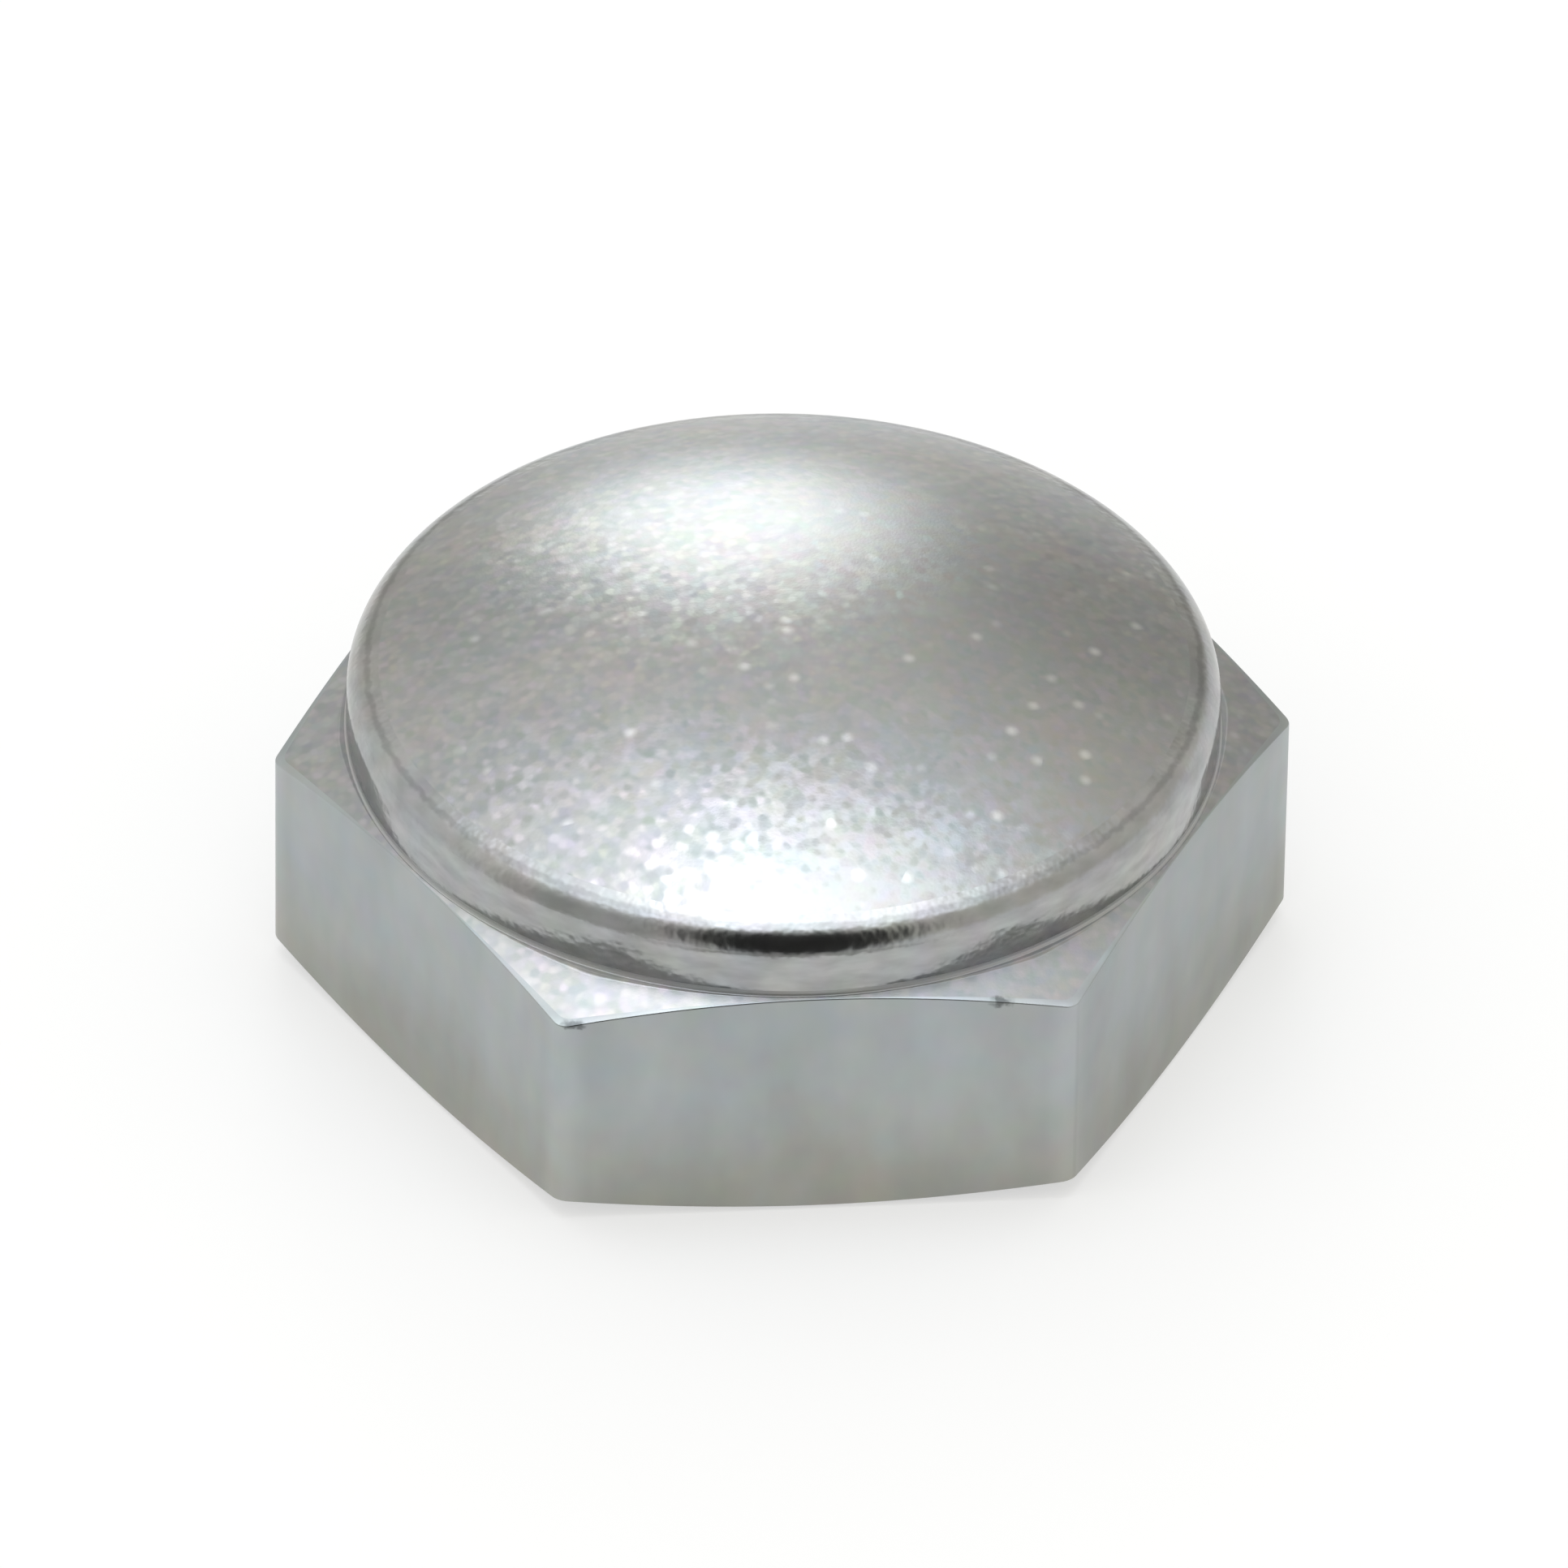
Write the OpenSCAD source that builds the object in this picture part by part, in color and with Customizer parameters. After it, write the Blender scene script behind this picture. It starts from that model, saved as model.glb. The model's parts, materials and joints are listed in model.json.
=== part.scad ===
// Closed-end lock nut: a hexagon turned on both ends, with a low domed crown over a blind fine thread.
// The origin is the centre of the bearing face. +Z runs along the thread axis, out through the crown.

/* [Hexagon] */
// Width across two opposite wrench flats
across_flats = 30; // [27.5:0.1:34]
// Height of the wrench flats, from the bearing face to the foot of the collar
hex_height = 9; // [6:0.1:14]
// Radius of the rounded corner between two flats
corner_radius = 0.6; // [0.1:0.05:1.5]
// Diameter of the circle where the upper chamfer starts
top_chamfer_d = 29.75; // [26:0.05:30.5]
// Slope of the upper chamfer below the horizontal
top_chamfer_angle = 18.5; // [5:0.5:30]
// Diameter of the bearing circle, where the lower chamfer starts
bearing_d = 29; // [25:0.1:30.5]
// Slope of the lower chamfer above the horizontal
bottom_chamfer_angle = 15; // [5:0.5:30]

/* [Crown] */
// Diameter of the plain collar under the crown
collar_d = 29.6; // [27:0.1:33]
// Height of the straight wall of the collar
collar_height = 1.4; // [0.5:0.1:4]
// Radius that blends the collar into the crown
crown_edge_radius = 1.1; // [0.2:0.05:2]
// Radius of the spherical crown
crown_radius = 36; // [22:0.5:60]

/* [Thread] */
// Nominal diameter of the internal thread
thread_d = 22; // [18:0.5:23]
// Pitch of the internal thread
thread_pitch = 1; // [0.75:0.25:1.5]
// Thickness of the closed end, between the bore and the outside of the crown
end_thickness = 3.2; // [2:0.1:5]
// Radius in the corner between the bore and its closed end
bore_corner_radius = 0.8; // [0.2:0.1:2]
// Width of the countersink at the mouth beyond the nominal thread diameter, on the radius
mouth_clearance = 0.25; // [0.1:0.05:0.6]

/* [Hidden] */
$fn = 144;

// Six flats make the hexagon, and its corners lie this far from the axis before they are rounded.
SIDES = 6;
half_corner_angle = 180 / SIDES;
sharp_corner_r = across_flats / 2 / cos(half_corner_angle);
corner_centre_r = sharp_corner_r - corner_radius / cos(half_corner_angle);

// The crown's sphere is tangent inside to the ring that rounds the collar's upper edge.
collar_r = collar_d / 2;
collar_top_z = hex_height + collar_height;
edge_centre_r = collar_r - crown_edge_radius;
crown_centre_z = collar_top_z - sqrt(pow(crown_radius - crown_edge_radius, 2) - pow(edge_centre_r, 2));
crown_top_z = crown_centre_z + crown_radius;
crown_tilt = asin(edge_centre_r / (crown_radius - crown_edge_radius));
crown_join_r = crown_radius * sin(crown_tilt);
crown_join_z = crown_centre_z + crown_radius * cos(crown_tilt);

// The bore is drilled to the minor diameter of a 60 degree thread, which keeps 5/8 of the full height H.
THREAD_FLANK_ANGLE = 60;
MINOR_SHARE = 5 / 8;
thread_full_height = thread_pitch / 2 / tan(THREAD_FLANK_ANGLE / 2);
bore_r = thread_d / 2 - MINOR_SHARE * thread_full_height;
mouth_r = thread_d / 2 + mouth_clearance;
mouth_depth = mouth_r - bore_r;

// The closed end of the bore is concentric with the crown, and a small fillet joins it to the wall.
end_radius = crown_radius - end_thickness;
fillet_centre_r = bore_r - bore_corner_radius;
fillet_centre_z = crown_centre_z + sqrt(pow(end_radius - bore_corner_radius, 2) - pow(fillet_centre_r, 2));
end_tilt = asin(fillet_centre_r / (end_radius - bore_corner_radius));
end_join_r = end_radius * sin(end_tilt);
end_join_z = crown_centre_z + end_radius * cos(end_tilt);

// Cuts run this far past the faces that they open, so that no skin is left.
CUT = 1;

// Hexagonal bar with flats facing +-Y and rounded corners, standing on the bearing plane.
module hex_bar(height) {
    linear_extrude(height) {
        // The straight flats stop where the corner arcs begin.
        polygon([
            for (corner = [0 : SIDES - 1], side = [-1, 1])
                let (centre = corner * 360 / SIDES, normal = centre + side * half_corner_angle)
                corner_centre_r * [cos(centre), sin(centre)] + corner_radius * [cos(normal), sin(normal)]
        ]);
        for (corner = [0 : SIDES - 1])
            rotate(corner * 360 / SIDES)
                translate([corner_centre_r, 0])
                    circle(corner_radius);
    }
}

// Section of the lathe cut that chamfers both ends of the hexagon, as a half profile.
module chamfer_profile() {
    reach = sharp_corner_r + CUT;
    top_drop = (reach - top_chamfer_d / 2) * tan(top_chamfer_angle);
    bottom_rise = (reach - bearing_d / 2) * tan(bottom_chamfer_angle);
    polygon([
        [0, 0],
        [bearing_d / 2, 0],
        [reach, bottom_rise],
        [reach, hex_height - top_drop],
        [top_chamfer_d / 2, hex_height],
        [0, hex_height],
    ]);
}

// Section of the collar and crown, as a half profile from the middle of the hexagon upwards.
module crown_profile() {
    polygon([
        [0, hex_height / 2],
        [collar_r, hex_height / 2],
        [collar_r, collar_top_z],
        [edge_centre_r, collar_top_z],
        [crown_join_r, crown_join_z],
        [0, crown_join_z],
    ]);
    translate([edge_centre_r, collar_top_z])
        circle(crown_edge_radius);
    intersection() {
        translate([0, crown_centre_z])
            circle(crown_radius);
        translate([0, collar_top_z])
            square([crown_join_r, crown_top_z - collar_top_z + CUT]);
    }
}

// Section of the blind bore, open at the bearing face and domed at its closed end.
module bore_profile() {
    polygon([
        [0, -CUT],
        [mouth_r + CUT, -CUT],
        [bore_r, mouth_depth],
        [bore_r, fillet_centre_z],
        [fillet_centre_r, fillet_centre_z],
        [end_join_r, end_join_z],
        [0, end_join_z],
    ]);
    translate([fillet_centre_r, fillet_centre_z])
        circle(bore_corner_radius);
    intersection() {
        translate([0, crown_centre_z])
            circle(end_radius);
        translate([0, fillet_centre_z])
            square([end_join_r, crown_centre_z + end_radius - fillet_centre_z + CUT]);
    }
}

module lock_nut() {
    color("lightsteelblue")
        difference() {
            union() {
                intersection() {
                    hex_bar(hex_height);
                    rotate_extrude() chamfer_profile();
                }
                rotate_extrude() crown_profile();
            }
            rotate_extrude() bore_profile();
        }
}

lock_nut();
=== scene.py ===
# %% [markdown]
# A closed-end lock nut stands on a pale table. The real one is forged and turned from a single piece of
# steel and then zinc plated. It has six wrench flats, a chamfer at both ends, a plain round collar and a
# low domed crown over a blind thread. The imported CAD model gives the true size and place, so it is loaded
# before anything is made.

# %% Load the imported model
import json
import math

import bmesh
import bpy
from mathutils import Matrix, Vector


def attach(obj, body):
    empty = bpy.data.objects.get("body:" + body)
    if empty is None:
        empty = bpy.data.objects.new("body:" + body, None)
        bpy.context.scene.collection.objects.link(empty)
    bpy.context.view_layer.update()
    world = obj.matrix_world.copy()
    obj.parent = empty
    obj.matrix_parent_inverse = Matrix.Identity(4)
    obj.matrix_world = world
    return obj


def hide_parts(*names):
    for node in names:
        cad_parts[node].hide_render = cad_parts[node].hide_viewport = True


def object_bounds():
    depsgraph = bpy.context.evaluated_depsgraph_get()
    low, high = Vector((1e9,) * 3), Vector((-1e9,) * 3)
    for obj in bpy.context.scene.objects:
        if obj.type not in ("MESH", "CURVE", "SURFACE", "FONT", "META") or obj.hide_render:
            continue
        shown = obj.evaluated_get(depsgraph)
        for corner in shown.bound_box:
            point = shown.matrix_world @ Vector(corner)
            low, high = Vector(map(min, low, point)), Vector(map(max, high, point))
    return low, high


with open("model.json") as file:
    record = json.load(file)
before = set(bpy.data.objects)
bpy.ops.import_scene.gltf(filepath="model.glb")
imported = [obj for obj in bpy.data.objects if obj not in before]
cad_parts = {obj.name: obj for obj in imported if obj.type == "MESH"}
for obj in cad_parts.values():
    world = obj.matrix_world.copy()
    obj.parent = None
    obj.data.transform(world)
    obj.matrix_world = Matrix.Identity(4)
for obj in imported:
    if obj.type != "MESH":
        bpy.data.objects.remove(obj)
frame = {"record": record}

CAD_LOW, CAD_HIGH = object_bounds()
print("CAD box, metres:", tuple(CAD_LOW), tuple(CAD_HIGH))

# %% [markdown]
# Blender works in metres, and a maker thinks of a nut in millimetres, so one constant turns one into the
# other. Node trees for shapes and for finishes are both filled by one small function. It adds a node, sets
# it up and feeds its inputs, so that a long chain of nodes reads like a recipe, one step a line.

# %% Units and the node helper
MM = 0.001


def feed(tree, value, socket):
    """Feeds a socket with a plain value, an output, or a node, which stands for its first output."""
    if isinstance(value, bpy.types.Node):
        value = next(output for output in value.outputs if output.enabled)
    if isinstance(value, bpy.types.NodeSocket):
        tree.links.new(value, socket)
    else:
        socket.default_value = value


def add(tree, kind, inputs=None, **settings):
    """Adds one node. inputs maps a socket's name or number to what feeds it, or lists the feeds in order."""
    node = tree.nodes.new(kind)
    for name, value in settings.items():
        setattr(node, name, value)
    named = dict(enumerate(inputs)) if isinstance(inputs, list) else inputs
    for name, value in (named or {}).items():
        feed(tree, value, node.inputs[name])
    return node


print("one millimetre is", MM, "of Blender's units")

# %% [markdown]
# These are the sizes that the nut is made to. The hexagon and the height come from the CAD model and the
# bore from its record, so the looks can't drift away from them, and the rest repeats the CAD model's own
# sizes. Real edges are never knife sharp: the tool and the plating leave a small radius, and that radius is
# what catches the light.

# %% Sizes of the nut, in millimetres and degrees
FLAT_R = CAD_HIGH.y / MM
TOTAL_HEIGHT = CAD_HIGH.z / MM
BORE_R = next(m["dims"]["r_mm"] for m in frame["record"]["mounts"] if m["name"] == "thread")
CORNER_RADIUS = 0.6
HEX_HEIGHT = 9.0
TOP_CHAMFER_R = 14.875
TOP_CHAMFER_DEG = 18.5
BEARING_R = 14.5
BOTTOM_CHAMFER_DEG = 15
COLLAR_R = 14.8
COLLAR_TOP = 10.4
RIM_RADIUS = 1.1
CROWN_RADIUS = 36.0
END_RADIUS = CROWN_RADIUS - 3.2
END_FILLET = 0.8
MOUTH_R = 11.25
THREAD_MAJOR_R = 11.0
THREAD_PITCH = 1.0
EDGE_RADIUS = 0.05
ROOT_RADIUS = 0.1

CROWN_CENTRE_Z = TOTAL_HEIGHT - CROWN_RADIUS
CROWN_TILT = math.degrees(math.asin((COLLAR_R - RIM_RADIUS) / (CROWN_RADIUS - RIM_RADIUS)))
CROWN_EDGE_R = CROWN_RADIUS * math.sin(math.radians(CROWN_TILT))
END_TILT = math.degrees(math.asin((BORE_R - END_FILLET) / (END_RADIUS - END_FILLET)))
END_FILLET_Z = CROWN_CENTRE_Z + (END_RADIUS - END_FILLET) * math.cos(math.radians(END_TILT))
print("crown tilt at the rim", round(CROWN_TILT, 2), "deg, bore wall ends at z", round(END_FILLET_Z, 3))

# %% [markdown]
# A lathe hand draws half of a section and turns it round the axis. A hexagon nut needs one thing more:
# where the section meets the wrench flats, it moves outwards towards the corners, and a chamfer slopes as
# it goes. So every point of this section has a place over the middle of a flat, and a lean, which says how
# far it moves for each millimetre that the hexagon reaches further out. The chamfers then become true
# cones, cut off in the curved line that every real nut shows. Each point also has the number of its finish
# and its share of the thread's depth.

# %% Draw the section
THREAD, FACED, DRAWN, GRAINED, ROOT, RIM, CROWN = range(7)
section = [dict(place=Vector((0, CROWN_CENTRE_Z + END_RADIUS)), lean=Vector((0, 0)), finish=THREAD, cut=0.0)]


def straight(r, z, steps, finish, lean=(0, 0), cut=0.0):
    """Runs the section from its last point to (r, z) in even steps."""
    start = section[-1]
    for step in range(1, steps + 1):
        part = step / steps
        section.append(dict(place=start["place"].lerp(Vector((r, z)), part),
                            lean=start["lean"].lerp(Vector(lean), part), finish=finish, cut=cut))


def arc(r, z, radius, start_deg, end_deg, steps, finish, lean=(0, 0)):
    """Runs the section round an arc, from the angle where it already is."""
    for step in range(1, steps + 1):
        angle = math.radians(start_deg + (end_deg - start_deg) * step / steps)
        place = Vector((r + radius * math.cos(angle), z + radius * math.sin(angle)))
        section.append(dict(place=place, lean=Vector(lean), finish=finish, cut=0.0))


def setback(radius, turn_deg):
    """How far from a corner an edge radius starts, where the outline turns by turn_deg."""
    return radius * math.tan(math.radians(turn_deg / 2))


print("the section starts at z", round(section[0]["place"].y, 3), "mm, in the middle of the blind end")

# %% [markdown]
# The inside comes first, from the middle of the blind end to the mouth: a domed end that follows the crown,
# a small fillet, the threaded wall and a 45 degree countersink. The thread needs about twelve points in
# each pitch. It is cut to its full depth, apart from the run-out near the blind end, where the tap stops.

# %% The inside of the section
ROWS_PER_PITCH = 12
RUN_OUT = 1.2
COUNTERSINK_DEG = 45
mouth_depth = MOUTH_R - BORE_R
mouth_edge = setback(EDGE_RADIUS, COUNTERSINK_DEG)
mouth_step = mouth_edge * math.sin(math.radians(COUNTERSINK_DEG))
wall_rows = round((END_FILLET_Z - mouth_depth) / THREAD_PITCH * ROWS_PER_PITCH)

arc(0, CROWN_CENTRE_Z, END_RADIUS, 90, 90 - END_TILT, steps=12, finish=THREAD)
arc(BORE_R - END_FILLET, END_FILLET_Z, END_FILLET, 90 - END_TILT, 0, steps=6, finish=THREAD)
straight(BORE_R, mouth_depth, steps=wall_rows, finish=THREAD, cut=1.0)
for point in section[-wall_rows:]:
    point["cut"] = min(1.0, (END_FILLET_Z - point["place"].y) / RUN_OUT)
straight(MOUTH_R - mouth_step, mouth_step, steps=12, finish=FACED, cut=1.0)
arc(MOUTH_R + mouth_edge, EDGE_RADIUS, EDGE_RADIUS, 270 - COUNTERSINK_DEG, 270, steps=3, finish=FACED)
print("rows inside:", len(section), "of which on the thread:", wall_rows)

# %% [markdown]
# The outside follows, from the bearing face round the hexagon and up over the collar to the middle of the
# crown. The rim's arc ends exactly where the crown's big sphere starts, in the same direction, so that no
# line shows there.

# %% The outside of the section
bottom_slope = math.tan(math.radians(BOTTOM_CHAMFER_DEG))
top_slope = math.tan(math.radians(TOP_CHAMFER_DEG))
bottom_lean = (1, bottom_slope)
top_lean = (1, -top_slope)
flat_low = (FLAT_R - BEARING_R) * bottom_slope + setback(EDGE_RADIUS, 90 - BOTTOM_CHAMFER_DEG)
flat_high = HEX_HEIGHT - (FLAT_R - TOP_CHAMFER_R) * top_slope - setback(EDGE_RADIUS, 90 - TOP_CHAMFER_DEG)
edge_r = FLAT_R - EDGE_RADIUS


def on_edge(z, angle_deg):
    """The point of the flat's edge radius, centred at that height, at that angle."""
    angle = math.radians(angle_deg)
    return edge_r + EDGE_RADIUS * math.cos(angle), z + EDGE_RADIUS * math.sin(angle)


straight(BEARING_R, 0, steps=6, finish=FACED)
straight(*on_edge(flat_low, BOTTOM_CHAMFER_DEG - 90), steps=6, finish=FACED, lean=bottom_lean)
arc(edge_r, flat_low, EDGE_RADIUS, BOTTOM_CHAMFER_DEG - 90, 0, steps=5, finish=DRAWN, lean=bottom_lean)
straight(FLAT_R, flat_high, steps=10, finish=DRAWN, lean=top_lean)
arc(edge_r, flat_high, EDGE_RADIUS, 0, 90 - TOP_CHAMFER_DEG, steps=5, finish=DRAWN, lean=top_lean)
straight(TOP_CHAMFER_R, HEX_HEIGHT, steps=8, finish=GRAINED)
straight(COLLAR_R + ROOT_RADIUS, HEX_HEIGHT, steps=1, finish=GRAINED)
arc(COLLAR_R + ROOT_RADIUS, HEX_HEIGHT + ROOT_RADIUS, ROOT_RADIUS, 270, 180, steps=4, finish=ROOT)
straight(COLLAR_R, HEX_HEIGHT + 2 * ROOT_RADIUS, steps=1, finish=RIM)
straight(COLLAR_R, COLLAR_TOP, steps=5, finish=RIM)
arc(COLLAR_R - RIM_RADIUS, COLLAR_TOP, RIM_RADIUS, 0, 90 - CROWN_TILT, steps=16, finish=RIM)
arc(0, CROWN_CENTRE_Z, CROWN_RADIUS, 90 - CROWN_TILT, 90, steps=32, finish=CROWN)
print("rows in all:", len(section), "top at", round(section[-1]["place"].y, 3))

# %% [markdown]
# The section becomes a mesh of points and edges, and each point's lean, finish and cut go with it as
# attributes. Attributes are how a node tree gets to know more about a point than where it is.

# %% Make the section a mesh with attributes
places = [(*(p["place"] * MM), 0) for p in section]
section_mesh = bpy.data.meshes.new("half_section")
section_mesh.from_pydata(places, [(i, i + 1) for i in range(len(section) - 1)], [])
attributes = {
    "place": ("FLOAT_VECTOR", "vector", [value for place in places for value in place]),
    "lean": ("FLOAT_VECTOR", "vector", [value for p in section for value in (*p["lean"], 0)]),
    "finish": ("FLOAT", "value", [p["finish"] for p in section]),
    "cut": ("FLOAT", "value", [p["cut"] for p in section]),
}
for name, (kind, field, values) in attributes.items():
    section_mesh.attributes.new(name, kind, "POINT").data.foreach_set(field, values)
nut = bpy.data.objects.new("nut_body", section_mesh)
bpy.context.scene.collection.objects.link(nut)
print("section:", len(section_mesh.vertices), "points with", ", ".join(attributes))

# %% [markdown]
# Zinc plating is a thin bright metal skin, a little blue-grey, and it repeats the surface under it. So each
# region of the nut has the same metal, and differs in how the steel below was worked. Colours are written
# as sRGB hex, the way a paint program shows them, and one function turns them into the linear values that
# Blender mixes with. Plating is never one even grey. Its colour drifts over about 4 mm, and its passivated
# film has faint tints 1.1 mm wide.

# %% Colours and the metal that all the finishes share
COOL_ZINC = "#9DA2A6"
WARM_ZINC = "#ABA9A4"
CLOUD_WIDTH = 4.0
FILM_WIDTH = 1.1
FILM_TINT = 0.12
MIX_A, MIX_B = 6, 7  # the numbers of a Mix node's two colour inputs


def srgb(code):
    """The linear colour of an sRGB hex code."""
    channels = [int(code[i:i + 2], 16) / 255 for i in (1, 3, 5)]
    return (*(c / 12.92 if c <= 0.04045 else ((c + 0.055) / 1.055) ** 2.4 for c in channels), 1)


def repeating(width):
    """The scale of a pattern whose patches are about that many millimetres wide."""
    return 1 / (width * MM)


def new_zinc(name, roughness, cool=COOL_ZINC, warm=WARM_ZINC):
    """Plated steel that drifts between two greys: its material, tree, place on the nut, colour and shader."""
    material = bpy.data.materials.new(name)
    material.use_nodes = True
    tree = material.node_tree
    tree.nodes.clear()
    where = add(tree, "ShaderNodeTexCoord").outputs["Object"]
    clouds = add(tree, "ShaderNodeTexNoise", {"Vector": where, "Scale": repeating(CLOUD_WIDTH),
                                              "Detail": 2.0})
    drift = add(tree, "ShaderNodeMix", {"Factor": clouds, MIX_A: srgb(cool), MIX_B: srgb(warm)},
                data_type="RGBA")
    film = add(tree, "ShaderNodeTexNoise", {"Vector": where, "Scale": repeating(FILM_WIDTH), "Detail": 1.0})
    tint = add(tree, "ShaderNodeVectorMath", [film.outputs["Color"], (FILM_TINT,) * 3,
                                              (1 - FILM_TINT / 2,) * 3], operation="MULTIPLY_ADD")
    colour = add(tree, "ShaderNodeVectorMath", [drift, tint], operation="MULTIPLY")
    metal = add(tree, "ShaderNodeBsdfPrincipled", {"Base Color": colour, "Metallic": 1.0,
                                                   "Roughness": roughness})
    add(tree, "ShaderNodeOutputMaterial", {"Surface": metal})
    return material, tree, where, colour, metal


print("zinc from", COOL_ZINC, "to", WARM_ZINC)

# %% [markdown]
# Three small helpers serve several finishes. One tones a colour up or down from place to place: a measure,
# such as a distance or a noise, picks the strength. One lays bumps on a surface, a broad one below and a
# fine one on top. One measures how far a place is from the nut's axis, because whatever was turned on a
# lathe depends on that.

# %% Tone, relief and radius
def toned(tree, colour, measure, start, end, at_start, at_end, easing="SMOOTHSTEP"):
    """The colour, times a strength that goes from at_start to at_end as the measure goes from start to end.

    A smooth step is gentle at both ends, and a linear one suits a noise, which is gentle already."""
    strength = add(tree, "ShaderNodeMapRange", {"Value": measure, "From Min": start, "From Max": end,
                                                "To Min": at_start, "To Max": at_end},
                   interpolation_type=easing)
    return add(tree, "ShaderNodeVectorMath", {0: colour, "Scale": strength}, operation="SCALE")


def relief(tree, metal, layers, surface=None):
    """Lays bumps on each other. A layer is its pattern, and how deep the pattern goes in millimetres."""
    for pattern, depth in layers:
        below = {"Normal": surface} if surface else {}
        surface = add(tree, "ShaderNodeBump", {"Height": pattern, "Distance": depth * MM, "Strength": 1.0,
                                               **below})
    feed(tree, surface, metal.inputs["Normal"])


def radius_of(tree, where):
    """How far a place is from the nut's axis."""
    outwards = add(tree, "ShaderNodeVectorMath", [where, (1, 1, 0)], operation="MULTIPLY")
    return add(tree, "ShaderNodeVectorMath", [outwards], operation="LENGTH")


def heading(degrees):
    """The level unit vector at that angle round the axis, with +X as zero."""
    return math.cos(math.radians(degrees)), math.sin(math.radians(degrees)), 0


print("a heading of 60 degrees is", tuple(round(value, 3) for value in heading(60)))

# %% [markdown]
# Two marks are painted into the colour. Where the grained crown meets the turned rim, a thin wavy line of
# painted shade darkens the edge. Two small dark spots sit on the chamfer's front edge. Each mark is a
# distance from a place, made ragged by a noise, and the helper for tone darkens what is near.

# %% The painted shade round the crown, and the dark spots
CREASE_RADIUS = CROWN_EDGE_R - 0.02
CREASE_CORE = 0.03
CREASE_EDGE = 0.17
CREASE_WAVE = 0.4
CREASE_WOBBLE = 0.3
CREASE_SHADE = 0.78
EDGE_SPOTS_X = (-8.2, 6.2)
SPOT_CORE = 0.15
SPOT_EDGE = 0.55
SPOT_GRAIN = 0.3
SPOT_RAGGED = 0.5
SPOT_SQUEEZE = (1, 1.5, 2.5)
SPOT_DARK = 0.4


def crease_shaded(tree, where, colour):
    """The colour, darkened along the crown's edge with painted shade."""
    wave = add(tree, "ShaderNodeTexNoise", {"Vector": where, "Scale": repeating(CREASE_WAVE), "Detail": 2.0})
    wavy = add(tree, "ShaderNodeMath", [wave, CREASE_WOBBLE * MM, radius_of(tree, where)],
               operation="MULTIPLY_ADD")
    crease = (CREASE_RADIUS + CREASE_WOBBLE / 2) * MM
    past = add(tree, "ShaderNodeMath", [wavy, crease], operation="SUBTRACT")
    away = add(tree, "ShaderNodeMath", [past], operation="ABSOLUTE")
    return toned(tree, colour, away, CREASE_CORE * MM, CREASE_EDGE * MM, CREASE_SHADE, 1.0)


def edge_spotted(tree, where, colour):
    """The colour, with two small dark spots in it."""
    grain = add(tree, "ShaderNodeTexNoise", {"Vector": where, "Scale": repeating(SPOT_GRAIN), "Detail": 2.0})
    ragged = add(tree, "ShaderNodeVectorMath", [grain.outputs["Color"], (SPOT_RAGGED * MM,) * 3, where],
                 operation="MULTIPLY_ADD")
    for x in EDGE_SPOTS_X:
        z = HEX_HEIGHT - (math.hypot(x, FLAT_R) - TOP_CHAMFER_R) * top_slope
        middle = [(value + SPOT_RAGGED / 2) * MM for value in (x, -FLAT_R, z)]
        away = add(tree, "ShaderNodeVectorMath", [ragged, middle], operation="SUBTRACT")
        away = add(tree, "ShaderNodeVectorMath", [away, SPOT_SQUEEZE], operation="MULTIPLY")
        away = add(tree, "ShaderNodeVectorMath", [away], operation="LENGTH")
        colour = toned(tree, colour, away, SPOT_CORE * MM, SPOT_EDGE * MM, SPOT_DARK, 1.0)
    return colour


print("crease at radius", round(CREASE_RADIUS, 2), "mm, edge_spots at x", EDGE_SPOTS_X, "mm")

# %% [markdown]
# Crown and upper chamfer. The forging die left a grain here, like very fine sandpaper, and the plating kept
# it. To the eye it is a sparkle: each grain leans its own way and mirrors its own bit of the room. A smooth
# Voronoi pattern makes grains. Its random colour gives each one a lean, which is added to the normal, and a
# slightly different grey, which is what still shows where the light is even. A real grain is under 0.1 mm
# wide, too fine to show, so it is drawn 0.3 mm wide. The die was more worn in front, and so the grain is
# coarse there and almost smooth at the back. On top lies a fine bump, which keeps the reflections soft.

# %% The grain
GRAIN_WIDTH = 0.3
GRAIN_SMOOTH_Y, GRAIN_COARSE_Y = 8, -10
GRAIN_SMOOTH, GRAIN_COARSE = 0.15, 1.7
FLECK_TINT = 0.08
POWDER_WIDTH = 0.11
POWDER_DEPTH = 0.002


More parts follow.
